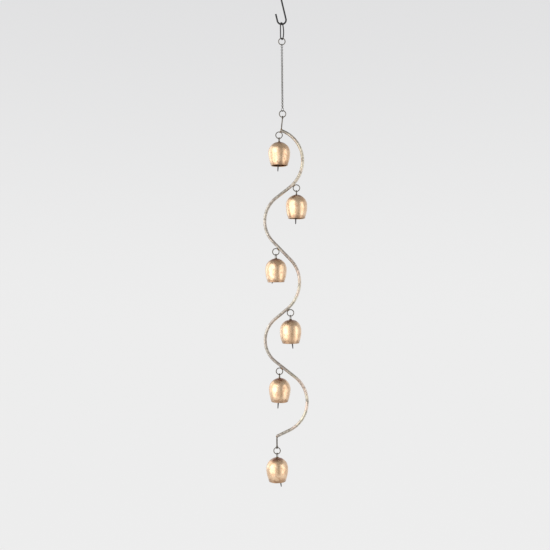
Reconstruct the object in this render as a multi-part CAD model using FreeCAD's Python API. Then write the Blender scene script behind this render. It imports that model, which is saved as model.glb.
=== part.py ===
# Hanging bell wave: an S-hook, an oval link, a fine chain and a wavy rod with six bells.
# Millimetres, +Z up, +X to the viewer's right, +Y away from the viewer.
# The origin is the inside top of the S-hook's upper bowl, where the whole thing hangs.
import FreeCAD, Part
import math
import os

V = FreeCAD.Vector
ORIGIN = V(0, 0, 0)
UP = V(0, 0, 1)
ACROSS = V(0, 1, 0)

# Clearance between two wires that hang in each other
GAP = 0.1
CHAIN_GAP = 0.08

# How near an edge's middle must be to a bar's end point to be the rim of that end
END_TOLERANCE = 0.9

# S-hook: one round bar, two equal bowls and a sloping shank between them
HOOK_WIRE = 3.3
HOOK_RADIUS = 8.6
HOOK_SPACING = 76.95
HOOK_TIP = 13.7
HOOK_FLARE = 13.0
HOOK_CHAMFER = 0.7

# Oval link under the hook: one straight side and one bowed side
OVAL_WIRE = 2.3
OVAL_LENGTH = 32.5
OVAL_WIDTH = 11.4
OVAL_RADIUS = 4.6
OVAL_TURN = 57.5

# Plain wire rings
RING_WIRE = 1.8
RING_RADIUS = 6.4
RING_SLIT = 0.5

# Chain: small links in pairs, then one larger end link
LINK_COUNT = 40
LINK_WIRE = 0.9
LINK_RADIUS = 1.75
LINK_FIRST_TURN = 90.0
LINK_STEP_TURN = 91.8
END_WIRE = 0.95
END_LENGTH = 7.0
END_RADIUS = 3.0
END_TURN = 131.0
LOWER_RING_TOP = -262.4

# Wave rod: lobes as (outermost x, height, radius above it, radius below it)
ROD = 6.0
LOBES = [
    (38.5, -360.0, 62.0, 68.0),
    (-37.0, -480.0, 58.0, 58.0),
    (30.3, -599.0, 63.0, 70.0),
    (-38.3, -714.0, 54.0, 54.0),
    (43.0, -835.0, 62.0, 62.0),
]
ROD_START_ANGLE = 72.5
ROD_END_ANGLE = -65.0
ROD_ROUNDING = 2.4

# Hairpin hangers at the rod's two ends
PIN_WIRE = 1.8
PIN_EYE = 2.5
PIN_NECK = 2.5
PIN_LEG_GAP = 0.04
UPPER_PIN_TURN = 75.0
UPPER_PIN_LENGTH = 26.5
UPPER_PIN_FOOT = 2.0
LOWER_PIN_TURN = 60.0
LOWER_PIN_LENGTH = 24.0
LOWER_PIN_X = -17.1

# Rings welded under the rod: the places that they hang nearest to, as (x, z)
WELDED_SPOTS = [(-6.9, -309.5), (25.0, -414.0), (-16.0, -540.0), (13.0, -661.5), (-11.9, -776.0)]
WELD_REACH = 10.0

# Bells: a domed crown that runs into a belly, narrower again at the mouth
BELL_HEIGHT = 47.0
BELL_RADIUS = 21.25
MOUTH_RADIUS = 16.2
SHELL = 1.0
HEM = 1.5
HEM_HEIGHT = 2.4
CROWN_DROP = 6.6

# Wire hanger through each crown, one turn from the cross plane for each bell
HANGER_WIRE = 1.4
HANGER_RADIUS = 2.5
HANGER_INSIDE = 8.0
HANGER_TURNS = [20.0, -15.0, 30.0, -24.0, 16.0, -28.0]
BRAZE_RADIUS = 1.7
BRAZE_HEIGHT = 0.9

# Clappers: a wire eye and a stick; how far each stands below the mouth, and how far it leans in x
EYE_WIRE = 1.6
EYE_RADIUS = 1.8
STICK_NECK = 1.1
STICK_BODY = 1.65
STICK_TIP = 0.9
STICK_TAPER_START = 0.35
STICK_TAPER_END = 0.7
CLAPPER_DROPS = [11.5, 11.0, 3.5, 10.5, 13.5, 10.5]
CLAPPER_LEANS = [-3.1, -2.4, -7.9, 3.9, -3.7, 7.9]


def polar(angle, radius=1.0):
    """A point in the XZ plane at an angle from +X."""
    turn = math.radians(angle)
    return V(radius * math.cos(turn), 0, radius * math.sin(turn))


def line(start, end):
    return Part.LineSegment(start, end).toShape()


def bend(centre, start, end):
    """An arc from start to end, the short way round its centre."""
    middle = (start - centre) + (end - centre)
    middle.normalize()
    radius = (start - centre).Length
    return Part.Arc(start, centre + middle * radius, end).toShape()


def tube(edges, diameter):
    """A round bar along edges that run on smoothly from one to the next."""
    first = edges[0]
    point = first.valueAt(first.FirstParameter)
    tangent = first.tangentAt(first.FirstParameter)
    circle = Part.Circle(point, tangent, diameter / 2).toShape()
    section = Part.Face(Part.Wire([circle]))
    return Part.Wire(edges).makePipe(section)


def end_edges(solid, points):
    """The circular edges of a bar round its two end points."""
    return [e for e in solid.Edges
            if e.Closed and any((e.BoundBox.Center - p).Length < END_TOLERANCE for p in points)]


def hang(solid, turn, x, top):
    """Turn a loop about its own upright axis and hang it with its top wire at (x, top)."""
    placed = solid.copy()
    placed.rotate(ORIGIN, UP, turn)
    placed.translate(V(x, 0, top))
    return placed


def stadium(length, radius):
    """A closed oval loop, its top wire's middle at the origin, hanging down."""
    low = radius - length
    corners = [V(-radius, 0, -radius), V(radius, 0, -radius), V(radius, 0, low), V(-radius, 0, low)]
    return [
        Part.Arc(corners[0], ORIGIN, corners[1]).toShape(),
        line(corners[1], corners[2]),
        Part.Arc(corners[2], V(0, 0, -length), corners[3]).toShape(),
        line(corners[3], corners[0]),
    ]


def ring(radius, wire, slit=0.0, slit_angle=20.0):
    """A wire ring in the XZ plane, its top wire's middle at the origin, with a fine slit."""
    centre = V(0, 0, -radius)
    opening = math.degrees(slit / radius)
    start = centre + polar(slit_angle, radius)
    circle = Part.Circle(start, polar(slit_angle + 90), wire / 2).toShape()
    section = Part.Face(Part.Wire([circle]))
    return section.revolve(centre, V(0, -1, 0), 360 - opening)


def s_hook():
    """The bar from the lower tip, round the lower bowl, up the shank and over the top."""
    upper = V(0, 0, HOOK_WIRE / 2 - HOOK_RADIUS)
    lower = upper - UP * HOOK_SPACING
    lean = math.degrees(math.asin(2 * HOOK_RADIUS / HOOK_SPACING))
    flare = polar(HOOK_FLARE, HOOK_RADIUS)
    shank = polar(lean, HOOK_RADIUS)
    tip = polar(90 + HOOK_FLARE, HOOK_TIP)
    tips = [lower - flare + tip, upper + flare - tip]
    below = lower - UP * HOOK_RADIUS
    above = upper + UP * HOOK_RADIUS
    edges = [
        line(tips[0], lower - flare),
        Part.Arc(lower - flare, below, lower + shank).toShape(),
        line(lower + shank, upper - shank),
        Part.Arc(upper - shank, above, upper + flare).toShape(),
        line(upper + flare, tips[1]),
    ]
    bar = tube(edges, HOOK_WIRE)
    return bar.makeChamfer(HOOK_CHAMFER, end_edges(bar, tips))


def hung_on(height, holder_wire, loop_wire, gap=GAP):
    """Height of a loop's top wire when it hangs on a wire that is at this height."""
    return height + holder_wire / 2 + gap + loop_wire / 2


# Heights down the hanging line, each from the wire above it
HOOK_SEAT = HOOK_WIRE / 2 - 2 * HOOK_RADIUS - HOOK_SPACING
OVAL_TOP = hung_on(HOOK_SEAT, HOOK_WIRE, OVAL_WIRE)
OVAL_SEAT = OVAL_TOP - OVAL_LENGTH
TOP_RING_TOP = hung_on(OVAL_SEAT, OVAL_WIRE, RING_WIRE)
TOP_RING_SEAT = TOP_RING_TOP - 2 * RING_RADIUS
CHAIN_TOP = hung_on(TOP_RING_SEAT, RING_WIRE, LINK_WIRE, CHAIN_GAP)
END_SEAT = LOWER_RING_TOP - hung_on(0, END_WIRE, RING_WIRE)
END_TOP = END_SEAT + END_LENGTH
CHAIN_SEAT = END_TOP - hung_on(0, LINK_WIRE, END_WIRE, CHAIN_GAP)
LINK_OVERLAP = hung_on(0, LINK_WIRE, LINK_WIRE, CHAIN_GAP)
LINK_LENGTH = (CHAIN_TOP - CHAIN_SEAT + (LINK_COUNT - 1) * LINK_OVERLAP) / LINK_COUNT
LINK_PITCH = LINK_LENGTH - LINK_OVERLAP
LOWER_RING_SEAT = LOWER_RING_TOP - 2 * RING_RADIUS
UPPER_PIN_TOP = hung_on(LOWER_RING_SEAT, RING_WIRE, PIN_WIRE)


def oval_link():
    """A D-shaped loop: a straight side, two round ends and a bowed side tangent to them."""
    half = OVAL_LENGTH / 2 - OVAL_RADIUS
    reach = OVAL_WIDTH - OVAL_RADIUS
    bow = (reach ** 2 + half ** 2 - OVAL_RADIUS ** 2) / (2 * (reach - OVAL_RADIUS))
    top = V(0, 0, -OVAL_RADIUS)
    bottom = V(0, 0, OVAL_RADIUS - OVAL_LENGTH)
    bow_centre = V(reach - bow, 0, -OVAL_LENGTH / 2)
    top_join = bow_centre + (top - bow_centre) * (bow / (bow - OVAL_RADIUS))
    bottom_join = bow_centre + (bottom - bow_centre) * (bow / (bow - OVAL_RADIUS))
    left = V(-OVAL_RADIUS, 0, 0)
    edges = [
        Part.Arc(top + left, ORIGIN, top_join).toShape(),
        bend(bow_centre, top_join, bottom_join),
        Part.Arc(bottom_join, V(0, 0, -OVAL_LENGTH), bottom + left).toShape(),
        line(bottom + left, top + left),
    ]
    return hang(tube(edges, OVAL_WIRE), OVAL_TURN, 0, OVAL_TOP)


def chain_link(number):
    """One small link of the chain; each is a little over a quarter turn on from the last."""
    turn = LINK_FIRST_TURN + number * LINK_STEP_TURN
    loop = tube(stadium(LINK_LENGTH, LINK_RADIUS), LINK_WIRE)
    return hang(loop, turn, 0, CHAIN_TOP - number * LINK_PITCH)


def hairpin(length):
    """A bent wire with its eye's top at the origin and two close legs that run down."""
    leg = (PIN_WIRE + PIN_LEG_GAP) / 2
    eye = V(0, 0, -PIN_EYE)
    side = leg + PIN_NECK
    drop = math.sqrt((PIN_NECK + PIN_EYE) ** 2 - side ** 2)
    share = PIN_EYE / (PIN_NECK + PIN_EYE)

    def half(sign):
        neck = eye + V(sign * side, 0, -drop)
        throat = eye + V(sign * leg, 0, -drop)
        join = eye + (neck - eye) * share
        foot = V(sign * leg, 0, -length)
        return neck, throat, join, foot

    neck_a, throat_a, join_a, foot_a = half(-1)
    neck_b, throat_b, join_b, foot_b = half(1)
    edges = [
        line(foot_a, throat_a),
        bend(neck_a, throat_a, join_a),
        Part.Arc(join_a, ORIGIN, join_b).toShape(),
        bend(neck_b, join_b, throat_b),
        line(throat_b, foot_b),
    ]
    return tube(edges, PIN_WIRE)


def lobe_points(lobe):
    """The outermost point of a lobe and the centres of the arcs above and below it."""
    x, z, upper, lower = lobe
    side = math.copysign(1, x)
    return V(x, 0, z), V(x - side * upper, 0, z), V(x - side * lower, 0, z)


def stroke(above, below):
    """The straight run that is tangent to the lower arc of one lobe and the upper arc of the next."""
    start_centre = lobe_points(above)[2]
    end_centre = lobe_points(below)[1]
    start_radius, end_radius = above[3], below[2]
    between = end_centre - start_centre
    base = math.degrees(math.atan2(between.z, between.x))
    swing = math.degrees(math.acos((start_radius + end_radius) / between.Length))
    angle = base + math.copysign(swing, above[0])
    return start_centre + polar(angle, start_radius), end_centre - polar(angle, end_radius)


def rod_ends():
    """The rod's first point, the last point of its last arc, and its last point."""
    first_centre = lobe_points(LOBES[0])[1]
    last_centre = lobe_points(LOBES[-1])[2]
    start = first_centre + polar(ROD_START_ANGLE, LOBES[0][2])
    arc_end = last_centre + polar(ROD_END_ANGLE, LOBES[-1][3])
    heading = polar(ROD_END_ANGLE - 90)
    end = arc_end + heading * ((LOWER_PIN_X - arc_end.x) / heading.x)
    return start, arc_end, end


def rod_line():
    """The rod's centre line, from its upper end to its lower end."""
    start, arc_end, end = rod_ends()
    edges = []
    here = start
    for above, below in zip(LOBES, LOBES[1:]):
        tip, upper_centre, lower_centre = lobe_points(above)
        leave, arrive = stroke(above, below)
        edges += [bend(upper_centre, here, tip), bend(lower_centre, tip, leave), line(leave, arrive)]
        here = arrive
    tip, upper_centre, lower_centre = lobe_points(LOBES[-1])
    edges += [bend(upper_centre, here, tip), bend(lower_centre, tip, arc_end), line(arc_end, end)]
    return edges


def wave_rod():
    start, _, end = rod_ends()
    bar = tube(rod_line(), ROD)
    return bar.makeFillet(ROD_ROUNDING, end_edges(bar, [start, end]))


def weld_centre(spot):
    """A welded ring's centre: square to the rod, at the reach of its weld."""
    wanted = V(spot[0], 0, spot[1])
    rod = Part.Wire(rod_line())
    nearest = rod.distToShape(Part.Vertex(wanted))[1][0][0]
    away = wanted - nearest
    away.normalize()
    return nearest + away * WELD_REACH


def upper_hairpin(rod):
    """Hooked round the lower ring's wire, and leaning to meet the rod's upper end."""
    start = rod_ends()[0]
    lean = math.degrees(math.atan2(start.x + UPPER_PIN_FOOT, LOWER_RING_SEAT - start.z))
    pin = hang(hairpin(UPPER_PIN_LENGTH), UPPER_PIN_TURN, 0, UPPER_PIN_TOP)
    pin.rotate(V(0, 0, LOWER_RING_SEAT), ACROSS, -lean)
    return pin.cut(rod)


def lower_hairpin(rod):
    """A shorter hairpin upside down, its legs on the rod's lower end."""
    pin = hairpin(LOWER_PIN_LENGTH)
    pin.rotate(ORIGIN, V(1, 0, 0), 180)
    return hang(pin, LOWER_PIN_TURN, LOWER_PIN_X, lower_pin_seat()).cut(rod)


def lower_pin_seat():
    """Height of the lower hairpin's eye at its bottom."""
    return rod_ends()[2].z - LOWER_PIN_LENGTH


def ring_centres():
    """The centre of each bell's ring: five welded under the rod and one that hangs free."""
    top = hung_on(lower_pin_seat(), PIN_WIRE, RING_WIRE)
    return [weld_centre(spot) for spot in WELDED_SPOTS] + [V(LOWER_PIN_X, 0, top - RING_RADIUS)]


def plain_ring(centre, slit, slit_angle=20.0):
    return hang(ring(RING_RADIUS, RING_WIRE, slit, slit_angle), 0, centre.x, centre.z + RING_RADIUS)


def bell_profile():
    """Half of the bell's section: outer dome and belly, hem, then the inner belly and dome."""
    belly_fall = BELL_HEIGHT - BELL_RADIUS
    pinch = BELL_RADIUS - MOUTH_RADIUS
    belly = (pinch ** 2 + belly_fall ** 2) / (2 * pinch)
    dome_centre = V(0, 0, -BELL_RADIUS)
    belly_centre = V(BELL_RADIUS - belly, 0, -BELL_RADIUS)

    def belly_point(radius, z):
        return V(belly_centre.x + math.sqrt(radius ** 2 - (z + BELL_RADIUS) ** 2), 0, z)

    hem_top = HEM_HEIGHT - BELL_HEIGHT
    outer_side = V(BELL_RADIUS, 0, -BELL_RADIUS)
    inner_side = V(BELL_RADIUS - SHELL, 0, -BELL_RADIUS)
    mouth = V(MOUTH_RADIUS, 0, -BELL_HEIGHT)
    hem_low = mouth - V(HEM, 0, 0)
    hem_high = belly_point(belly - HEM, hem_top)
    wall = belly_point(belly - SHELL, hem_top)
    inner_top = V(0, 0, -SHELL)
    edges = [
        bend(dome_centre, ORIGIN, outer_side),
        bend(belly_centre, outer_side, mouth),
        line(mouth, hem_low),
        line(hem_low, hem_high),
        line(hem_high, wall),
        bend(belly_centre, wall, inner_side),
        bend(dome_centre, inner_side, inner_top),
        line(inner_top, ORIGIN),
    ]
    return Part.Face(Part.Wire(edges))


def bell_shell(index):
    """One bell, with two holes in its crown for the hanger's legs."""
    shell = bell_profile().revolve(ORIGIN, UP, 360)
    for side in (-1, 1):
        at = V(0, side * HANGER_RADIUS, -HANGER_INSIDE)
        shell = shell.cut(Part.makeCylinder(HANGER_WIRE / 2, 2 * HANGER_INSIDE, at))
    crown = ring_seat(index) - CROWN_DROP
    return hang(shell, HANGER_TURNS[index], ring_centres()[index].x, crown)


def ring_seat(index):
    """Height of the wire that a bell hangs on."""
    return ring_centres()[index].z - RING_RADIUS


def bell_hanger(index):
    """A closed wire loop through the crown, with a braze bead round each leg."""
    rise = hung_on(0, RING_WIRE, HANGER_WIRE)
    length = rise + CROWN_DROP + HANGER_INSIDE
    loop = tube(stadium(length, HANGER_RADIUS), HANGER_WIRE)
    crown = -rise - CROWN_DROP
    dome = Part.makeSphere(BELL_RADIUS, V(0, 0, crown - BELL_RADIUS))
    for side in (-1, 1):
        at = V(side * HANGER_RADIUS, 0, crown - BRAZE_HEIGHT)
        bead = Part.makeCone(BRAZE_RADIUS, HANGER_WIRE / 2, 2 * BRAZE_HEIGHT, at)
        loop = loop.fuse(bead.cut(dome))
    return hang(loop, 90 + HANGER_TURNS[index], ring_centres()[index].x, ring_seat(index) + rise)


def clapper_pivot(index):
    """The middle of the hanger's wire inside the bell, where the clapper's eye hangs."""
    return V(ring_centres()[index].x, 0, ring_seat(index) - CROWN_DROP - HANGER_INSIDE)


def clapper_lean(index):
    """The turn about the hanger's cross line that puts the tip at its place in x."""
    reach = BELL_HEIGHT - HANGER_INSIDE + CLAPPER_DROPS[index]
    sideways = CLAPPER_LEANS[index] / math.cos(math.radians(HANGER_TURNS[index]))
    return math.degrees(math.asin(sideways / reach))


def bell_clapper(index):
    """A wire eye and a stick that swells below the eye and tapers to a round tip."""
    rise = hung_on(0, HANGER_WIRE, EYE_WIRE)
    eye = ring(EYE_RADIUS, EYE_WIRE)
    reach = BELL_HEIGHT - HANGER_INSIDE + CLAPPER_DROPS[index]
    neck = V(STICK_NECK, 0, -2 * EYE_RADIUS)
    tip = -rise - reach
    run = neck.z - tip
    swell = V(STICK_BODY, 0, neck.z - STICK_TAPER_START * run)
    taper = V(STICK_BODY, 0, neck.z - STICK_TAPER_END * run)
    shoulder = V(STICK_TIP, 0, tip + STICK_TIP)
    bottom = V(0, 0, tip)
    edges = [
        line(V(0, 0, neck.z), neck),
        line(neck, swell),
        line(swell, taper),
        line(taper, shoulder),
        bend(V(0, 0, shoulder.z), shoulder, bottom),
        line(bottom, V(0, 0, neck.z)),
    ]
    stick = Part.Face(Part.Wire(edges)).revolve(ORIGIN, UP, 360)
    clapper = eye.fuse(stick)
    clapper.translate(UP * rise)
    clapper.rotate(ORIGIN, ACROSS, -clapper_lean(index))
    clapper.rotate(ORIGIN, UP, HANGER_TURNS[index])
    clapper.translate(clapper_pivot(index))
    return clapper


def nodes():
    """Every separate piece, by name, from the hook down."""
    pieces = {"s_hook": s_hook(), "oval_link": oval_link()}
    pieces["top_ring"] = hang(ring(RING_RADIUS, RING_WIRE, RING_SLIT), 0, 0, TOP_RING_TOP)
    for pair in range(LINK_COUNT // 2):
        links = [chain_link(2 * pair), chain_link(2 * pair + 1)]
        pieces[f"chain_links_{pair + 1:02d}"] = Part.makeCompound(links)
    end_link = tube(stadium(END_LENGTH, END_RADIUS), END_WIRE)
    pieces["chain_end_link"] = hang(end_link, END_TURN, 0, END_TOP)
    pieces["lower_ring"] = hang(ring(RING_RADIUS, RING_WIRE, RING_SLIT), 0, 0, LOWER_RING_TOP)
    rod = wave_rod()
    pieces["upper_hairpin"] = upper_hairpin(rod)
    pieces["wave_rod"] = rod
    pieces["lower_hairpin"] = lower_hairpin(rod)
    centres = ring_centres()
    for index, centre in enumerate(centres):
        number = index + 1
        welded = index < len(WELDED_SPOTS)
        loop = plain_ring(centre, 0).cut(rod) if welded else plain_ring(centre, RING_SLIT)
        pieces[f"bell_{number}_ring"] = loop
        pieces[f"bell_{number}_shell"] = bell_shell(index)
        pieces[f"bell_{number}_hanger"] = bell_hanger(index)
        pieces[f"bell_{number}_clapper"] = bell_clapper(index)
    return pieces


def write_parts():
    os.makedirs("parts", exist_ok=True)
    for name, shape in nodes().items():
        shape.exportStep(f"parts/{name}.step")


write_parts()
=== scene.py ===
import math

import bpy
from mathutils import Matrix, Vector, noise


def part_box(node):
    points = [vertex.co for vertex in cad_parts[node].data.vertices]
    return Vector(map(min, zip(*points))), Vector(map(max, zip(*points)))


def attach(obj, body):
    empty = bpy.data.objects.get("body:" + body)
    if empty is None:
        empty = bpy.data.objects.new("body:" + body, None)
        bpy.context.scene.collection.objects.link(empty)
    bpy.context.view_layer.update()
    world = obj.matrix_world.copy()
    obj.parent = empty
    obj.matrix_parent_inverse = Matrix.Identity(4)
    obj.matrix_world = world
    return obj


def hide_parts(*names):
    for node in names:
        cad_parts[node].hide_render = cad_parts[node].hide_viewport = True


# A hanging bell mobile: hook, link, rings, chain, a wavy rod and six bells.
# Outlines are in millimetres, as (u, z) in each piece's own plane; meshes are in metres.
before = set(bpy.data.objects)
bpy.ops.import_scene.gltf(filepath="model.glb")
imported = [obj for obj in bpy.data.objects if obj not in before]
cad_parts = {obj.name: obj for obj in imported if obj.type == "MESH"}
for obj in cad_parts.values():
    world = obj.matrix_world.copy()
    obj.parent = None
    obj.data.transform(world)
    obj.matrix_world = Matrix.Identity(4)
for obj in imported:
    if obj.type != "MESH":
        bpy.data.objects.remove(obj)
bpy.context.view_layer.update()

MM = 0.001
BELL_COUNT = 6
WELDED_BELLS = 5
LINK_PAIRS = 20

# Sizes that the frame's boxes don't tell, in millimetres and degrees
HOOK_RADIUS = 8.6
HOOK_TIP = 13.7
HOOK_FLARE = 13.0
OVAL_WIRE = 2.3
OVAL_WIDTH = 11.4
OVAL_RADIUS = 4.6
OVAL_TURN = 57.5
RING_SLIT = 0.5
RING_SLIT_ANGLE = 20.0
LINK_WIRE = 0.9
LINK_RADIUS = 1.75
LINK_FIRST_TURN = 90.0
LINK_STEP_TURN = 91.8
END_WIRE = 0.95
END_RADIUS = 3.0
END_TURN = 131.0
GAP = 0.1
PIN_WIRE = 1.8
PIN_EYE = 2.5
PIN_NECK = 2.5
PIN_LEG_GAP = 0.04
UPPER_PIN_TURN = 75.0
UPPER_PIN_LENGTH = 26.5
UPPER_PIN_FOOT = 2.0
LOWER_PIN_TURN = 60.0
LOWER_PIN_LENGTH = 24.0
ROD = 6.0
# The rod's bends: x and z of the outermost point, then the radii above and below it
LOBES = [
    (38.5, -360.0, 62.0, 68.0),
    (-37.0, -480.0, 58.0, 58.0),
    (30.3, -599.0, 63.0, 70.0),
    (-38.3, -714.0, 54.0, 54.0),
    (43.0, -835.0, 62.0, 62.0),
]
ROD_START_ANGLE = 72.5
ROD_END_ANGLE = -65.0
BELL_RADIUS = 21.25
MOUTH_RADIUS = 16.2
SHELL = 1.0
HEM = 1.5
HEM_HEIGHT = 2.4
HANGER_WIRE = 1.4
HANGER_RADIUS = 2.5
HANGER_TURNS = [20.0, -15.0, 30.0, -24.0, 16.0, -28.0]
EYE_WIRE = 1.6
EYE_RADIUS = 1.8
# A clapper's stick, as (share of its length, radius)
STICK_PROFILE = [(0.0, 1.0), (0.08, 1.15), (0.35, 1.6), (0.7, 1.6), (0.97, 1.0), (1.0, 0.9)]
# How far each clapper's tip stands off its bell's axis
CLAPPER_LEANS = [-3.1, -2.4, -7.9, 3.9, -3.7, 7.9]

# Detail that the CAD leaves out
# A bell's outline stops just short of its axis
NEAR_POLE = 89.6
BELL_SIDES = 144
BEAD_SIDES = 24
RING_SIDES = 20
STICK_SIDES = 24
WIRE_DENT = 0.05
WIRE_DENT_SIZE = 2.5
FINE_DENT = 0.03
BEAD_LUMPS = 0.22
WELD_FLAT = 0.8
PIN_WELD = 1.9
PIN_WELD_SPREAD = 1.1
RING_WELD = 1.5
RING_WELD_SPREAD = 0.8
RING_WELD_OUT = 0.1
BRAZE = 1.75
BRAZE_FLAT = 0.5
BRAZE_DEPTH = 0.2
# Moves each bell's noise, so that no two bells are alike
UNLIKE = Vector((37.0, 11.0, 5.0))
OUT_OF_ROUND = 0.18
BROAD_DENT = 0.6
BROAD_DENT_SIZE = 17.0
SMALL_DENT = 0.14
SMALL_DENT_SIZE = 6.0
HAMMER_DENT = 0.09
HAMMER_SIZE = 5.0
SEAM_ANGLE = 115.0
SEAM_RISE = 0.32
SEAM_HALF = 1.6
GROOVE_DEPTH = 0.22
GROOVE_WIDTH = 0.35
GROOVE_REACH = 0.8
FOLD_RISE = 0.28
STICK_BEND = 0.3
# About the mean of Voronoi noise, so that dents go in as much as out
MEAN_NEAR = 0.45

# Studio, in metres
MIDDLE = -0.5
FLOOR = -2.3
WALL_RADIUS = 4.5
WALL_TOP = 2.6
WALL_SIDES = 96
SKY = 0.4
CAMERA = (-0.0181, -1.534, -0.609)
LENS = 51.05
CAMERA_SHIFT = 0.0218
CAMERA_ROLL = 0.55


# ---------------------------------------------------------------- what the frame tells

def box_mm(node):
    low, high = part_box(node)
    return low / MM, high / MM


HOOK_WIRE = box_mm("s_hook")[1].y - box_mm("s_hook")[0].y
RING_WIRE = box_mm("top_ring")[1].y - box_mm("top_ring")[0].y
RING_OUTER = (box_mm("top_ring")[1].z - box_mm("top_ring")[0].z) / 2
RING_RADIUS = RING_OUTER - RING_WIRE / 2


def ring_centre(node):
    """Centre of a plain ring: its sides and its bottom are always whole."""
    low, high = box_mm(node)
    return Vector(((low.x + high.x) / 2, 0, low.z + RING_OUTER))


def bell_crown(number):
    """The top of a bell's shell."""
    low, high = box_mm(f"bell_{number}_shell")
    return Vector(((low.x + high.x) / 2, 0, high.z))


def bell_height(number):
    low, high = box_mm(f"bell_{number}_shell")
    return high.z - low.z


# ---------------------------------------------------------------- outlines

def on_circle(centre, radius, angle):
    turn = math.radians(angle)
    return (centre[0] + radius * math.cos(turn), centre[1] + radius * math.sin(turn))


def heading(centre, point):
    return math.degrees(math.atan2(point[1] - centre[1], point[0] - centre[0]))


def arc(centre, radius, start, end, step=6.0):
    """Points round a centre from one angle to another, both ends included."""
    count = max(2, math.ceil(abs(end - start) / step))
    return [on_circle(centre, radius, start + (end - start) * i / count) for i in range(count + 1)]


def between(start, end, step):
    """Points along a straight gap, without its ends."""
    count = max(1, round(math.dist(start, end) / step))
    return [tuple(a + (b - a) * i / count for a, b in zip(start, end)) for i in range(1, count)]


def joined(stretches, step=1.5, closed=False):
    """One outline from stretches of points, with points added along the straight gaps."""
    outline = list(stretches[0])
    for stretch in stretches[1:]:
        if math.dist(outline[-1], stretch[0]) < step / 100:
            outline.pop()
        else:
            outline += between(outline[-1], stretch[0], step)
        outline += stretch
    if closed:
        outline += between(outline[-1], outline[0], step)
    return outline


def stadium(length, radius):
    """A closed oval loop, its top at (0, 0), hanging down."""
    low = radius - length
    top_end = arc((0, -radius), radius, 180, 0, step=9)
    bottom_end = arc((0, low), radius, 0, -180, step=9)
    return joined([top_end, bottom_end], step=0.8, closed=True)


def d_loop(length, width, radius):
    """A closed loop with a straight side, two round ends and a bowed side."""
    half = length / 2 - radius
    reach = width - radius
    bow = (reach ** 2 + half ** 2 - radius ** 2) / (2 * (reach - radius))
    bow_centre = (reach - bow, -length / 2)
    top, bottom = (0, -radius), (0, radius - length)
    tilt = heading(bow_centre, top)
    top_end = arc(top, radius, 180, tilt)
    side = arc(bow_centre, bow, tilt, -tilt, step=1.5)
    bottom_end = arc(bottom, radius, -tilt, -180)
    return joined([top_end, side, bottom_end], step=1.0, closed=True)


def hook_line():
    """The S from its lower tip to its upper tip, hung with the inside of its top at 0."""
    low, high = box_mm("s_hook")
    spacing = high.z - low.z - 2 * HOOK_RADIUS - HOOK_WIRE
    upper = (0, HOOK_WIRE / 2 - HOOK_RADIUS)
    lower = (0, upper[1] - spacing)
    lean = math.degrees(math.asin(2 * HOOK_RADIUS / spacing))
    low_start = on_circle(lower, HOOK_RADIUS, 180 + HOOK_FLARE)
    high_end = on_circle(upper, HOOK_RADIUS, HOOK_FLARE)
    return joined([
        [on_circle(low_start, HOOK_TIP, 90 + HOOK_FLARE)],
        arc(lower, HOOK_RADIUS, 180 + HOOK_FLARE, 360 + lean),
        arc(upper, HOOK_RADIUS, 180 + lean, HOOK_FLARE),
        [on_circle(high_end, HOOK_TIP, HOOK_FLARE - 90)],
    ])


def hairpin_line(length):
    """A bent wire with its eye's top at (0, 0) and two close legs that run down."""
    leg = (PIN_WIRE + PIN_LEG_GAP) / 2
    side = leg + PIN_NECK
    eye = (0, -PIN_EYE)
    drop = math.sqrt((PIN_NECK + PIN_EYE) ** 2 - side ** 2)
    left, right = (-side, eye[1] - drop), (side, eye[1] - drop)
    return joined([
        [(-leg, -length)],
        arc(left, PIN_NECK, 0, heading(left, eye)),
        arc(eye, PIN_EYE, heading(eye, left) + 360, heading(eye, right)),
        arc(right, PIN_NECK, heading(right, eye), 180),
        [(leg, -length)],
    ])


def lobe_centres(lobe):
    """Centres of the arcs above and below a lobe's outermost point."""
    x, z, upper, lower = lobe
    side = math.copysign(1, x)
    return (x - side * upper, z), (x - side * lower, z)


def leaving_angle(lobe, after):
    """Where a lobe's lower arc is left for the straight stroke to the next lobe."""
    start, end = lobe_centres(lobe)[1], lobe_centres(after)[0]
    swing = math.degrees(math.acos((lobe[3] + after[2]) / math.dist(start, end)))
    angle = heading(start, end)
    return angle + swing if lobe[0] > 0 else angle - swing + 360


def rod_line():
    """The wave, from the rod's upper end to its lower end: arcs joined by tangent strokes."""
    stretches = []
    arrive = ROD_START_ANGLE
    for lobe, after in zip(LOBES, LOBES[1:] + [None]):
        tip = 0 if lobe[0] > 0 else 180
        leave = leaving_angle(lobe, after) if after else ROD_END_ANGLE
        upper_centre, lower_centre = lobe_centres(lobe)
        stretches.append(arc(upper_centre, lobe[2], arrive, tip, step=1.2))
        stretches.append(arc(lower_centre, lobe[3], tip, leave, step=1.2))
        arrive = leave + 180 - tip * 2
    foot = stretches[-1][-1]
    onward = on_circle((0, 0), 1, ROD_END_ANGLE - 90)
    run = (ring_centre("bell_6_ring").x - foot[0]) / onward[0]
    stretches.append([(foot[0] + run * onward[0], foot[1] + run * onward[1])])
    return joined(stretches, step=1.3)


ROD_LINE = rod_line()


# ---------------------------------------------------------------- meshes

def new_piece(name, vertices, faces, body, slot, material, replaced=()):
    """A smooth mesh in the row frame that rides on a body and may stand for CAD nodes."""
    mesh = bpy.data.meshes.new(name)
    mesh.from_pydata([v * MM for v in vertices], [], faces)
    mesh.validate()
    mesh.update()
    for face in mesh.polygons:
        face.use_smooth = True
    mesh.materials.append(material)
    piece = bpy.data.objects.new(name, mesh)
    bpy.context.scene.collection.objects.link(piece)
    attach(piece, body)
    if replaced:
        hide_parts(*replaced)
    return piece


def hung(turn, x, z):
    """The place of a loop: its top at (x, z), its plane turned about the upright axis."""
    return Matrix.Translation((x, 0, z)) @ Matrix.Rotation(math.radians(turn), 4, "Z")


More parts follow.
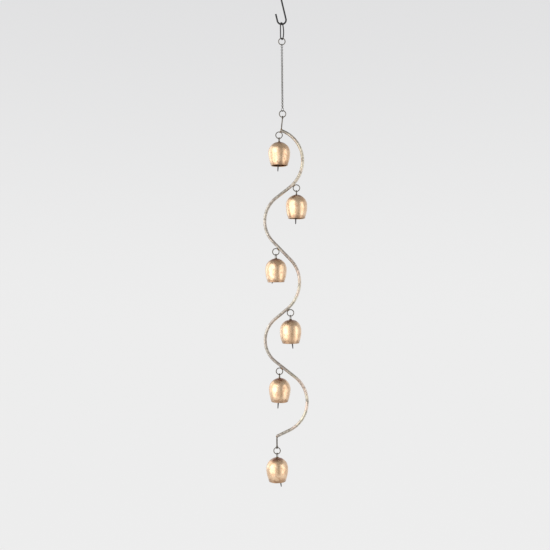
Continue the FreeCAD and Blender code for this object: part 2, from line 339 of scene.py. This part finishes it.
def hammered(point, size, depth):
    """A small dent depth at a place, in millimetres: shallow facets of about the given size."""
    near = noise.voronoi(point / size)[0][0]
    soft = noise.noise(point / (3 * size))
    return depth * (near - MEAN_NEAR + 0.5 * soft)


def bar(outline, radius, place, sides, closed=False, dent=0.0, dent_size=4.0, round_end=1.0):
    """A round bar along an outline, as vertices and faces. Open ends are rounded over."""
    count = len(outline)
    rows = []
    for i, (u, z) in enumerate(outline):
        before = outline[i - 1] if closed or i else outline[0]
        after = outline[(i + 1) % count] if closed or i + 1 < count else outline[-1]
        tangent = Vector((after[0] - before[0], 0, after[1] - before[1])).normalized()
        rows.append((Vector((u, 0, z)), tangent, radius))
    if not closed:
        rows = rounded_end(rows[0], -1, round_end) + rows + rounded_end(rows[-1], 1, round_end)
    vertices = []
    for middle, tangent, size in rows:
        across = Vector((-tangent.z, 0, tangent.x))
        for k in range(sides):
            turn = 2 * math.pi * k / sides
            out = across * math.cos(turn) + Vector((0, math.sin(turn), 0))
            spot = place @ (middle + out * size)
            push = hammered(spot, dent_size, dent) if dent else 0.0
            vertices.append(place @ (middle + out * (size + push * min(1.0, size / radius))))
    return vertices, tube_faces(len(rows), sides, closed)


def rounded_end(row, way, roundness):
    """Rows that close a bar's end with a quarter-round of the bar's own radius."""
    middle, tangent, radius = row
    rows = []
    for angle in (18, 36, 54, 70, 84):
        turn = math.radians(angle)
        inset = tangent * (way * radius * roundness * (math.sin(turn) - 1))
        rows.append((middle + inset, tangent, radius * math.cos(turn)))
    return rows if way > 0 else rows[::-1]


def tube_faces(rows, sides, closed):
    """Faces between rows of points, facing out, with flat caps unless the tube is closed."""
    faces = []
    for i in range(rows if closed else rows - 1):
        here, there = i * sides, ((i + 1) % rows) * sides
        for k in range(sides):
            after = (k + 1) % sides
            faces.append((here + k, there + k, there + after, here + after))
    if not closed:
        faces.append(tuple(range(sides)))
        faces.append(tuple(reversed(range((rows - 1) * sides, rows * sides))))
    return faces


def together(*solids):
    """Several (vertices, faces) as one."""
    vertices, faces = [], []
    for more, polygons in solids:
        start = len(vertices)
        vertices += more
        faces += [tuple(start + i for i in polygon) for polygon in polygons]
    return vertices, faces


def lathe(profile, place, sides, shape):
    """A turned solid from (radius, z) points, from its top down. shape() moves each point."""
    vertices = []
    for radius, z in profile:
        for k in range(sides):
            turn = 2 * math.pi * k / sides
            spot = Vector((radius * math.cos(turn), radius * math.sin(turn), z))
            vertices.append(place @ shape(spot))
    return vertices, tube_faces(len(profile), sides, False)


def bead(radius, place, flat, seed):
    """A lump of weld or braze metal, a little uneven."""
    profile = [(radius * math.sin(math.radians(a)), radius * flat * math.cos(math.radians(a)))
               for a in range(6, 180, 12)]

    def lumpy(spot):
        place = (spot + Vector((seed, seed, 0))) / (0.9 * radius)
        return spot * (1 + BEAD_LUMPS * noise.noise(place))

    return lathe(profile, place, BEAD_SIDES, lumpy)


# ---------------------------------------------------------------- materials

class Finish:
    """A node material under construction, in object coordinates."""

    def __init__(self, name):
        self.material = bpy.data.materials.new(name)
        self.material.use_nodes = True
        self.tree = self.material.node_tree
        self.shader = self.tree.nodes["Principled BSDF"]
        self.place = self.add("ShaderNodeTexCoord").outputs["Object"]

    def add(self, kind, inputs=None, **settings):
        node = self.tree.nodes.new(kind)
        for key, value in settings.items():
            setattr(node, key, value)
        for key, value in (inputs or {}).items():
            self.set(node.inputs[key], value)
        return node

    def set(self, socket, value):
        if isinstance(value, bpy.types.NodeSocket):
            self.tree.links.new(value, socket)
        else:
            socket.default_value = value

    def noise(self, scale, detail=4.0, roughness=0.55, distortion=0.0):
        """Soft noise, as a value near 0.5. scale counts its features in a metre."""
        made = self.add("ShaderNodeTexNoise", {
            "Vector": self.place, "Scale": scale, "Detail": detail,
            "Roughness": roughness, "Distortion": distortion})
        return made.outputs["Fac"]

    def cells(self, scale, smoothness):
        """Distance inside hammered facets."""
        made = self.add("ShaderNodeTexVoronoi", {
            "Vector": self.place, "Scale": scale, "Smoothness": smoothness}, feature="SMOOTH_F1")
        return made.outputs["Distance"]

    def axis(self, name):
        return self.add("ShaderNodeSeparateXYZ", {"Vector": self.place}).outputs[name]

    def attribute(self, name):
        return self.add("ShaderNodeAttribute", attribute_name=name).outputs["Fac"]

    def span(self, value, low, high, out_low=0.0, out_high=1.0):
        """value from low..high to out_low..out_high, held at the ends."""
        made = self.add("ShaderNodeMapRange", {
            "Value": value, "From Min": low, "From Max": high,
            "To Min": out_low, "To Max": out_high}, interpolation_type="SMOOTHSTEP")
        return made.outputs["Result"]

    def math(self, operation, a, b):
        return self.add("ShaderNodeMath", {0: a, 1: b}, operation=operation).outputs[0]

    def mix(self, factor, a, b):
        """Colour a, going to colour b as factor goes to 1."""
        made = self.add("ShaderNodeMix", data_type="RGBA")
        for index, value in ((0, factor), (6, a), (7, b)):
            self.set(made.inputs[index], value)
        return made.outputs[2]

    def relief(self, heights):
        """Bumps from (height, strength, distance in millimetres), one on the next."""
        normal = None
        for height, strength, distance in heights:
            bump = self.add("ShaderNodeBump", {
                "Height": height, "Strength": strength, "Distance": distance * MM})
            if normal:
                self.set(bump.inputs["Normal"], normal)
            normal = bump.outputs["Normal"]
        self.set(self.shader.inputs["Normal"], normal)

    def lacquer(self, weight, roughness):
        """A thin clear coat: it pales the brightest reflections and the edges."""
        self.shader.inputs["Coat Weight"].default_value = weight
        self.shader.inputs["Coat Roughness"].default_value = roughness

    def surface(self, **values):
        for key, value in values.items():
            self.set(self.shader.inputs[key.replace("_", " ").title()], value)
        return self.material


def rgb(red, green, blue):
    """A colour from 0-255 display values, as the linear values that shaders use."""
    def linear(value):
        value /= 255
        return value / 12.92 if value <= 0.04045 else ((value + 0.055) / 1.055) ** 2.4
    return (linear(red), linear(green), linear(blue), 1.0)


def bell_finish():
    """Copper-gold sheet: mottled flame colours, a browner mouth, dark specks, and a crown painted
    darker and browner as painted shade for the dim light it reflects from above.
    """
    f = Finish("bell_brass")
    cloud = f.noise(55, 5, 0.6, 0.6)
    blot = f.noise(150, 6, 0.62, 0.8)
    grain = f.noise(700, 5, 0.7)
    height = f.attribute("height")
    gold = f.mix(f.span(cloud, 0.38, 0.62), rgb(226, 190, 152), rgb(238, 208, 174))
    colour = f.mix(f.span(blot, 0.50, 0.68), gold, rgb(208, 166, 132))
    colour = f.mix(f.span(f.noise(260, 5, 0.65, 0.4), 0.60, 0.74), colour, rgb(166, 122, 94))
    # Painted shade: the crown goes reddish brown, standing in for the dim reflection it gets from
    # above.
    crown = f.math("ADD", height, f.math("MULTIPLY", f.math("SUBTRACT", blot, 0.5), 0.35))
    colour = f.mix(f.span(crown, 0.85, 0.97, 0.0, 0.9), colour, rgb(146, 88, 66))
    mouth = f.math("ADD", height, f.math("MULTIPLY", f.math("SUBTRACT", blot, 0.5), -0.35))
    colour = f.mix(f.span(mouth, 0.02, 0.22, 0.75, 0.0), colour, rgb(142, 106, 78))
    specks = f.span(f.noise(1300, 3, 0.6), 0.66, 0.74)
    colour = f.mix(f.math("MULTIPLY", specks, 0.55), colour, rgb(96, 64, 48))
    inside = f.attribute("inside")
    colour = f.mix(f.math("MULTIPLY", inside, 0.8), colour, rgb(182, 148, 112))
    rough = f.math("ADD", f.span(blot, 0.35, 0.72, 0.25, 0.44), f.math("MULTIPLY", specks, 0.2))
    f.relief([(f.cells(170, 0.8), 0.13, 0.5), (cloud, 0.35, 1.0), (grain, 0.13, 0.06)])
    f.lacquer(0.6, 0.25)
    return f.surface(base_color=colour, metallic=1.0, roughness=rough)


def rod_finish():
    """Antique pale gold over steel: olive and pink tints, painted light that makes the right-hand
    bends paler than the darker strokes, rubbed bright on the high spots."""
    f = Finish("rod_gold")
    cloud = f.noise(38, 5, 0.6, 0.5)
    blot = f.noise(190, 6, 0.65, 0.6)
    dents = f.cells(240, 0.6)
    # Painted light and shade: the right-hand bends paler and the strokes darker, as the lamps fall
    # on the rod.
    bend_light = f.span(f.axis("X"), -0.005, 0.032)
    olive = f.mix(bend_light, rgb(166, 160, 150), rgb(202, 195, 174))
    pink = f.mix(bend_light, rgb(168, 155, 147), rgb(206, 184, 170))
    tint = f.mix(f.span(cloud, 0.42, 0.60), olive, pink)
    colour = f.mix(f.span(blot, 0.48, 0.66), tint, rgb(148, 141, 130))
    colour = f.mix(f.span(f.noise(420, 5, 0.7), 0.59, 0.71), colour, rgb(106, 97, 87))
    rubbed = f.math("MULTIPLY", f.span(dents, 0.32, 0.62), f.span(blot, 0.60, 0.42))
    colour = f.mix(f.math("MULTIPLY", rubbed, 0.6), colour, rgb(218, 208, 193))
    rough = f.span(blot, 0.35, 0.7, 0.30, 0.48)
    f.relief([(dents, 0.25, 0.4), (f.noise(900, 4, 0.7), 0.2, 0.07)])
    f.lacquer(0.5, 0.3)
    return f.surface(base_color=colour, metallic=1.0, roughness=rough)


def wire_finish(name, pale, dull, rubbed):
    """Dull wire: dark in the grain, rubbed on the outside."""
    f = Finish(name)
    blot = f.noise(240, 5, 0.6, 0.4)
    grain = f.noise(1600, 4, 0.65)
    colour = f.mix(f.span(blot, 0.40, 0.64), pale, dull)
    colour = f.mix(f.span(grain, 0.56, 0.68), colour, rgb(54, 49, 43))
    colour = f.mix(f.span(f.noise(520, 4, 0.6), 0.60, 0.70), colour, rubbed)
    f.relief([(grain, 0.3, 0.06), (f.noise(420, 4), 0.3, 0.15)])
    rough = f.span(blot, 0.3, 0.7, 0.34, 0.52)
    return f.surface(base_color=colour, metallic=0.92, roughness=rough)


def paint_finish():
    """Satin black paint on steel, with fine scuffs down to grey."""
    f = Finish("black_steel")
    blot = f.noise(180, 5, 0.6, 0.5)
    grain = f.noise(1900, 4, 0.6)
    scuff = f.span(f.noise(900, 5, 0.7, 0.8), 0.60, 0.72)
    scuff = f.math("MULTIPLY", scuff, f.span(blot, 0.45, 0.62))
    colour = f.mix(f.span(blot, 0.35, 0.65), rgb(24, 23, 24), rgb(38, 36, 36))
    colour = f.mix(f.math("MULTIPLY", scuff, 0.8), colour, rgb(120, 114, 106))
    f.relief([(grain, 0.25, 0.05), (blot, 0.2, 0.3)])
    f.shader.inputs["Specular IOR Level"].default_value = 0.4
    rough = f.math("ADD", f.span(blot, 0.3, 0.7, 0.36, 0.50), f.math("MULTIPLY", grain, 0.06))
    return f.surface(base_color=colour, metallic=f.math("MULTIPLY", scuff, 0.8), roughness=rough)


def iron_finish():
    """Dark forged iron with scale and a little rust."""
    f = Finish("clapper_iron")
    blot = f.noise(300, 6, 0.65, 0.6)
    scale = f.noise(1200, 5, 0.7)
    colour = f.mix(f.span(blot, 0.38, 0.62), rgb(74, 70, 68), rgb(52, 48, 48))
    colour = f.mix(f.span(f.noise(500, 5, 0.7), 0.57, 0.68, 0.0, 0.8), colour, rgb(98, 66, 46))
    colour = f.mix(f.span(scale, 0.60, 0.70, 0.0, 0.7), colour, rgb(122, 116, 110))
    f.relief([(blot, 0.5, 0.3), (scale, 0.4, 0.08)])
    rough = f.span(scale, 0.35, 0.65, 0.42, 0.62)
    return f.surface(base_color=colour, metallic=0.75, roughness=rough)


def braze_finish():
    """Rough braze and weld metal, brown-gold with grey scale."""
    f = Finish("braze_metal")
    blot = f.noise(600, 5, 0.65, 0.5)
    colour = f.mix(f.span(blot, 0.42, 0.6), rgb(166, 136, 92), rgb(104, 86, 66))
    colour = f.mix(f.span(f.noise(1500, 4, 0.7), 0.56, 0.66), colour, rgb(70, 60, 52))
    f.relief([(blot, 0.7, 0.3), (f.noise(1700, 3), 0.4, 0.08)])
    rough = f.span(blot, 0.3, 0.7, 0.38, 0.58)
    return f.surface(base_color=colour, metallic=0.85, roughness=rough)


def backdrop_finish():
    """Pale paper that gives off its own soft light, a little darker high up."""
    f = Finish("backdrop")
    high = f.span(f.axis("Z"), -1.0, 2.2)
    tooth = f.math("MULTIPLY", f.noise(3, 4, 0.6), 0.012)
    paper = f.mix(high, rgb(235, 235, 235), rgb(222, 222, 223))
    colour = f.mix(tooth, paper, rgb(200, 200, 202))
    return f.surface(base_color=rgb(8, 8, 8), emission_color=colour, emission_strength=1.0,
                     roughness=0.9)


def flag_finish():
    """Grey felt."""
    f = Finish("flag")
    colour = f.mix(f.noise(40), rgb(160, 160, 160), rgb(176, 176, 176))
    return f.surface(base_color=colour, roughness=0.95)


BELL_METAL = bell_finish()
ROD_METAL = rod_finish()
WIRE_METAL = wire_finish("wire_pewter", rgb(118, 111, 101), rgb(86, 79, 71), rgb(152, 142, 126))
CHAIN_METAL = wire_finish("chain_wire", rgb(88, 82, 72), rgb(62, 57, 50), rgb(126, 116, 98))
BLACK_PAINT = paint_finish()
CLAPPER_METAL = iron_finish()
BRAZE_METAL = braze_finish()


# ---------------------------------------------------------------- hook, links and rings

def whole_ring(centre):
    outline = arc((centre.x, centre.z), RING_RADIUS, 0, 360)[:-1]
    return bar(outline, RING_WIRE / 2, Matrix(), RING_SIDES, closed=True,
               dent=WIRE_DENT, dent_size=WIRE_DENT_SIZE)


def slit_ring(centre):
    """A ring whose two ends meet with a fine slit, a little above its right side."""
    end = RING_SLIT_ANGLE + 360 - math.degrees(RING_SLIT / RING_RADIUS)
    outline = arc((centre.x, centre.z), RING_RADIUS, RING_SLIT_ANGLE, end)
    return bar(outline, RING_WIRE / 2, Matrix(), RING_SIDES,
               dent=WIRE_DENT, dent_size=WIRE_DENT_SIZE, round_end=0.25)


def make_hook():
    solid = bar(hook_line(), HOOK_WIRE / 2, Matrix(), sides=24,
                dent=0.06, dent_size=5, round_end=0.5)
    new_piece("hook", *solid, "hook", "black_steel", BLACK_PAINT, ["s_hook"])


def make_oval_link():
    low, high = box_mm("oval_link")
    outline = d_loop(high.z - low.z - OVAL_WIRE, OVAL_WIDTH, OVAL_RADIUS)
    place = hung(OVAL_TURN, 0, high.z - OVAL_WIRE / 2)
    solid = bar(outline, OVAL_WIRE / 2, place, sides=20, closed=True, dent=WIRE_DENT)
    new_piece("oval_loop", *solid, "oval_link", "black_steel", BLACK_PAINT, ["oval_link"])


def make_ring(node):
    """A ring that hangs free, on a body of its own name."""
    solid = slit_ring(ring_centre(node))
    new_piece(f"{node}_wire", *solid, node, "wire_pewter", WIRE_METAL, [node])


def make_chain():
    first_low, first_high = box_mm("chain_links_01")
    last_high = box_mm(f"chain_links_{LINK_PAIRS:02d}")[1]
    pitch = (first_high.z - last_high.z) / (2 * LINK_PAIRS - 2)
    length = first_high.z - first_low.z - LINK_WIRE - pitch
    top = first_high.z - LINK_WIRE / 2
    outline = stadium(length, LINK_RADIUS)
    for pair in range(LINK_PAIRS):
        links = []
        for number in (2 * pair, 2 * pair + 1):
            place = hung(LINK_FIRST_TURN + number * LINK_STEP_TURN, 0, top - number * pitch)
            link = bar(outline, LINK_WIRE / 2, place, sides=12, closed=True,
                       dent=FINE_DENT, dent_size=1)
            links.append(link)
        name = f"{pair + 1:02d}"
        new_piece(f"chain_pair_{name}", *together(*links), f"chain_{name}", "wire_pewter",
                  CHAIN_METAL, [f"chain_links_{name}"])


def make_end_link():
    low, high = box_mm("chain_end_link")
    outline = stadium(high.z - low.z - END_WIRE, END_RADIUS)
    place = hung(END_TURN, 0, high.z - END_WIRE / 2)
    solid = bar(outline, END_WIRE / 2, place, sides=14, closed=True,
                dent=FINE_DENT, dent_size=1.5)
    new_piece("end_link", *solid, "chain_end", "wire_pewter", CHAIN_METAL, ["chain_end_link"])


# ---------------------------------------------------------------- the wave and its welds

def make_rod():
    solid = bar(ROD_LINE, ROD / 2, Matrix(), sides=32, dent=0.10, dent_size=5.5, round_end=0.8)
    new_piece("wave", *solid, "wave", "rod_gold", ROD_METAL, ["wave_rod"])


def make_hairpin(name, place, length):
    """A bent wire whose legs end in two weld beads on the rod."""
    solid = bar(hairpin_line(length), PIN_WIRE / 2, place, sides=18,
                dent=WIRE_DENT, dent_size=WIRE_DENT_SIZE, round_end=0.5)
    new_piece(f"{name}_wire", *solid, "wave", "wire_pewter", WIRE_METAL, [name])
    foot = place @ Vector((0, 0, -length))
    lumps = [bead(PIN_WELD, Matrix.Translation(foot + Vector((0, side, 0))), WELD_FLAT, foot.z)
             for side in (-PIN_WELD_SPREAD, PIN_WELD_SPREAD)]
    new_piece(f"{name}_weld", *together(*lumps), "wave", "rod_gold", BRAZE_METAL)


def make_hairpins():
    """The upper one leans from its ring to the rod's start; the lower one stands eye down."""
    seat = ring_centre("lower_ring").z - RING_RADIUS
    start = ROD_LINE[0]
    lean = math.atan2(start[0] + UPPER_PIN_FOOT, seat - start[1])
    top = seat + (PIN_WIRE + RING_WIRE) / 2 + GAP
    about = Matrix.Translation((0, 0, seat))
    upper = about @ Matrix.Rotation(-lean, 4, "Y") @ about.inverted()
    make_hairpin("upper_hairpin", upper @ hung(UPPER_PIN_TURN, 0, top), UPPER_PIN_LENGTH)
    bottom = box_mm("lower_hairpin")[0].z + PIN_WIRE / 2
    lower = hung(LOWER_PIN_TURN, ROD_LINE[-1][0], bottom) @ Matrix.Rotation(math.pi, 4, "X")
    make_hairpin("lower_hairpin", lower, LOWER_PIN_LENGTH)


def make_welded_ring(number):
    node = f"bell_{number}_ring"
    centre = ring_centre(node)
    new_piece(f"{node}_wire", *whole_ring(centre), "wave", "wire_pewter", WIRE_METAL, [node])
    nearest = min(ROD_LINE, key=lambda point: math.dist(point, (centre.x, centre.z)))
    toward = Vector((nearest[0] - centre.x, 0, nearest[1] - centre.z)).normalized()
    joint = centre + toward * (RING_RADIUS + RING_WELD_OUT)
    lumps = [bead(RING_WELD, Matrix.Translation(joint + Vector((0, side, 0))), WELD_FLAT,
                  number + side)
             for side in (-RING_WELD_SPREAD, RING_WELD_SPREAD)]
    new_piece(f"{node}_weld", *together(*lumps), "wave", "rod_gold", BRAZE_METAL)


# ---------------------------------------------------------------- bells

def bell_section(height):
    """Half the bell's section, in two parts: from the crown down the outside, then round the lip
    and back up the inside."""
    fall = height - BELL_RADIUS
    pinch = BELL_RADIUS - MOUTH_RADIUS
    belly = (pinch ** 2 + fall ** 2) / (2 * pinch)
    lip = HEM / 2
    end = math.degrees(math.asin((fall - lip) / belly))
    dome, side = (0, -BELL_RADIUS), (BELL_RADIUS - belly, -BELL_RADIUS)
    outside = joined([
        arc(dome, BELL_RADIUS, NEAR_POLE, 0, step=2),
        arc(side, belly, 0, -end, step=0.8),
    ])
    inside = joined([
        arc(side, belly - SHELL, -end, 0, step=0.8),
        arc(dome, BELL_RADIUS - SHELL, 0, NEAR_POLE, step=3),
    ])
    hem_top = HEM_HEIGHT - height
    outside = [(r + hem_bulge(z - hem_top), z) for r, z in outside]
    inside = [(r - (HEM - SHELL) * (z < hem_top), z) for r, z in inside]
    middle = ((outside[-1][0] + inside[0][0]) / 2, outside[-1][1])
    lip_line = arc(middle, (outside[-1][0] - inside[0][0]) / 2, 0, -180, step=30)[1:-1]
    return outside, lip_line + inside


def hem_bulge(above):
    """The folded edge stands a little proud below a fine groove."""
    if above > GROOVE_REACH:
        return 0.0
    groove = -GROOVE_DEPTH * math.exp(-(above / GROOVE_WIDTH) ** 2)
    return groove + (FOLD_RISE if above < 0 else 0.0)


def bell_dents(number):
    """What moves a bell's points: out of round, soft lumps, hammer marks and a lap seam."""
    shift = UNLIKE * number

    def shape(spot):
        out = Vector((spot.x, spot.y, spot.z + BELL_RADIUS)).normalized()
        place = out * BELL_RADIUS + shift
        around = math.atan2(out.y, out.x)
        push = OUT_OF_ROUND * math.cos(2 * around + number) * (1 - abs(out.z))
        push += BROAD_DENT * noise.noise(place / BROAD_DENT_SIZE)
        push += SMALL_DENT * noise.noise(place / SMALL_DENT_SIZE)
        push += hammered(place, HAMMER_SIZE, HAMMER_DENT)
        seam = (around - math.radians(SEAM_ANGLE)) * BELL_RADIUS
        push += SEAM_RISE * max(0.0, 1 - abs(seam) / SEAM_HALF) * min(1.0, 1.2 - abs(out.z))
        return spot + out * push

    return shape


def make_shell(number):
    """Its finish reads two point values: height, 0 at the mouth and 1 at the crown, and inside."""
    node = f"bell_{number}_shell"
    height = bell_height(number)
    outside, inside = bell_section(height)
    crown = bell_crown(number)
    place = hung(HANGER_TURNS[number - 1], crown.x, crown.z)
    solid = lathe(outside + inside, place, BELL_SIDES, bell_dents(number))
    piece = new_piece(f"bell_{number}_body", *solid, f"bell_{number}", "bell_brass",
                      BELL_METAL, [node])
    levels = [1 + z / height for _, z in outside + inside]
    within = [0.0] * len(outside) + [1.0] * len(inside)
    for name, rows in (("height", levels), ("inside", within)):
        layer = piece.data.attributes.new(name, "FLOAT", "POINT")
        layer.data.foreach_set("value", [value for value in rows for _ in range(BELL_SIDES)])


def make_hanger(number):
    """A wire loop through the crown, brazed round both legs, outside and inside."""
    node = f"bell_{number}_hanger"
    low, high = box_mm(node)
    turn = 90 + HANGER_TURNS[number - 1]
    crown = bell_crown(number)
    place = hung(turn, crown.x, high.z - HANGER_WIRE / 2)
    outline = stadium(high.z - low.z - HANGER_WIRE, HANGER_RADIUS)
    solid = bar(outline, HANGER_WIRE / 2, place, sides=18, closed=True, dent=0.04, dent_size=2)
    new_piece(f"bell_{number}_loop", *solid, f"bell_{number}", "wire_pewter", WIRE_METAL, [node])
    lumps = []
    for side in (-HANGER_RADIUS, HANGER_RADIUS):
        for depth in (0.0, -SHELL - BRAZE_DEPTH):
            spot = hung(turn, crown.x, crown.z) @ Matrix.Translation((side, 0, depth))
            lumps.append(bead(BRAZE, spot, BRAZE_FLAT, number + side + depth))
    new_piece(f"bell_{number}_braze", *together(*lumps), f"bell_{number}", "bell_brass",
              BRAZE_METAL)


def make_clapper(number):
    node = f"bell_{number}_clapper"
    turn = HANGER_TURNS[number - 1]
    pivot_z = box_mm(f"bell_{number}_hanger")[0].z + HANGER_WIRE / 2
    sideways = CLAPPER_LEANS[number - 1] / math.cos(math.radians(turn))
    drop = pivot_z - box_mm(node)[0].z
    reach = math.hypot(drop, sideways)
    rise = (HANGER_WIRE + EYE_WIRE) / 2 + GAP
    lean = Matrix.Rotation(-math.asin(sideways / reach), 4, "Y")
    place = hung(turn, bell_crown(number).x, pivot_z) @ lean @ Matrix.Translation((0, 0, rise))
    outline = arc((0, -EYE_RADIUS), EYE_RADIUS, 0, 360, step=12)[:-1]
    eye = bar(outline, EYE_WIRE / 2, place, sides=16, closed=True)
    top, tip = -2 * EYE_RADIUS, -rise - reach
    shift = Vector((number * 19.0, 0, 0))

    def forged(spot):
        bend = STICK_BEND * noise.noise(Vector((0, number * 7.0, spot.z / 14)))
        rough = 1 + 0.10 * noise.noise((spot + shift) / 3)
        rough += 0.05 * noise.noise((spot + shift) / 1.2)
        return Vector((spot.x * rough + bend, spot.y * rough, spot.z))

    stick = lathe(stick_profile(top, tip), place, STICK_SIDES, forged)
    new_piece(f"bell_{number}_stick", *together(eye, stick), f"clapper_{number}",
              "clapper_iron", CLAPPER_METAL, [node])


def stick_profile(top, tip):
    """The clapper's stick: a neck, a swollen body, and a taper to a round tip."""
    rows = []
    for (start, a), (end, b) in zip(STICK_PROFILE, STICK_PROFILE[1:]):
        count = max(2, round((end - start) * 60))
        for i in range(count):
            share = i / count
            z = top + (tip + b - top) * (start + (end - start) * share)
            rows.append((a + (b - a) * share, z))
    last = STICK_PROFILE[-1][1]
    return rows + arc((0, tip + last), last, 0, -84, step=14)


make_hook()
make_oval_link()
make_ring("top_ring")
make_chain()
make_end_link()
make_ring("lower_ring")
make_rod()
make_hairpins()
for number in range(1, WELDED_BELLS + 1):
    make_welded_ring(number)
make_ring(f"bell_{BELL_COUNT}_ring")
for number in range(1, BELL_COUNT + 1):
    make_shell(number)
    make_hanger(number)
    make_clapper(number)


# ---------------------------------------------------------------- studio

def make_stage():
    """A round bowl of pale paper: floor, sweep and wall in one."""
    profile = [(WALL_RADIUS * share, FLOOR) for share in (0.02, 0.25, 0.5)]
    sweep = WALL_RADIUS / 2
    profile += arc((sweep, FLOOR + sweep), sweep, -90, 0, step=5)
    profile.append((WALL_RADIUS, WALL_TOP))
    turns = [2 * math.pi * k / WALL_SIDES for k in range(WALL_SIDES)]
    vertices = [Vector((u * math.cos(turn), u * math.sin(turn), z))
                for u, z in profile for turn in turns]
    mesh = bpy.data.meshes.new("bowl")
    mesh.from_pydata(vertices, [], tube_faces(len(profile), WALL_SIDES, False)[:-1])
    for face in mesh.polygons:
        face.use_smooth = True
    mesh.materials.append(backdrop_finish())
    bowl = bpy.data.objects.new("bowl", mesh)
    bpy.context.scene.collection.objects.link(bowl)


def make_flag(azimuth, distance, width, tall):
    """A tall grey card, seen only in reflections: it draws a darker stripe down the metal."""
    turn = math.radians(azimuth)
    across = Vector((math.cos(turn), math.sin(turn), 0)) * (width / 2)
    middle = Vector((distance * math.sin(turn), -distance * math.cos(turn), MIDDLE))
    rise = Vector((0, 0, tall / 2))
    vertices = [middle + across * u + rise * v for u, v in ((-1, -1), (1, -1), (1, 1), (-1, 1))]
    mesh = bpy.data.meshes.new("flag")
    mesh.from_pydata(vertices, [], [(0, 1, 2, 3)])
    mesh.materials.append(flag_finish())
    card = bpy.data.objects.new("flag", mesh)
    card.visible_camera = False
    card.visible_shadow = False
    card.visible_diffuse = False
    bpy.context.scene.collection.objects.link(card)


def make_softbox(name, azimuth, distance, height, width, tall, radiance, colour):
    """A large soft light that faces the middle of the mobile. Azimuth 0 is the camera's side."""
    turn = math.radians(azimuth)
    light = bpy.data.lights.new(name, "AREA")
    light.shape = "RECTANGLE"
    light.size = width
    light.size_y = tall
    light.energy = radiance * math.pi * width * tall
    light.color = colour
    lamp = bpy.data.objects.new(name, light)
    lamp.location = (distance * math.sin(turn), -distance * math.cos(turn), height)
    away = lamp.location - Vector((0, 0, MIDDLE))
    lamp.rotation_euler = away.to_track_quat("Z", "Y").to_euler()
    lamp.visible_camera = False
    bpy.context.scene.collection.objects.link(lamp)


def make_camera():
    data = bpy.data.cameras.new("view")
    data.lens = LENS
    data.shift_y = CAMERA_SHIFT
    camera = bpy.data.objects.new("view", data)
    camera.location = CAMERA
    camera.rotation_euler = (math.radians(90), math.radians(CAMERA_ROLL), 0)
    bpy.context.scene.collection.objects.link(camera)
    bpy.context.scene.camera = camera


def make_sky():
    world = bpy.data.worlds.new("sky")
    world.use_nodes = True
    background = world.node_tree.nodes["Background"]
    background.inputs["Color"].default_value = (SKY, SKY, SKY, 1)
    bpy.context.scene.world = world


make_stage()
make_softbox("key", azimuth=-54, distance=2.0, height=-0.2, width=2.5, tall=3.5,
             radiance=1.45, colour=(1.0, 0.985, 0.96))
make_softbox("fill", azimuth=62, distance=2.4, height=-0.5, width=1.6, tall=3.2,
             radiance=0.85, colour=(1.0, 0.98, 0.95))
make_softbox("edge", azimuth=-120, distance=2.2, height=0.0, width=1.4, tall=2.6,
             radiance=0.95, colour=(1.0, 0.99, 0.97))
make_flag(azimuth=17, distance=1.9, width=0.7, tall=3.0)
make_sky()
make_camera()
bpy.context.scene.view_settings.view_transform = "Standard"
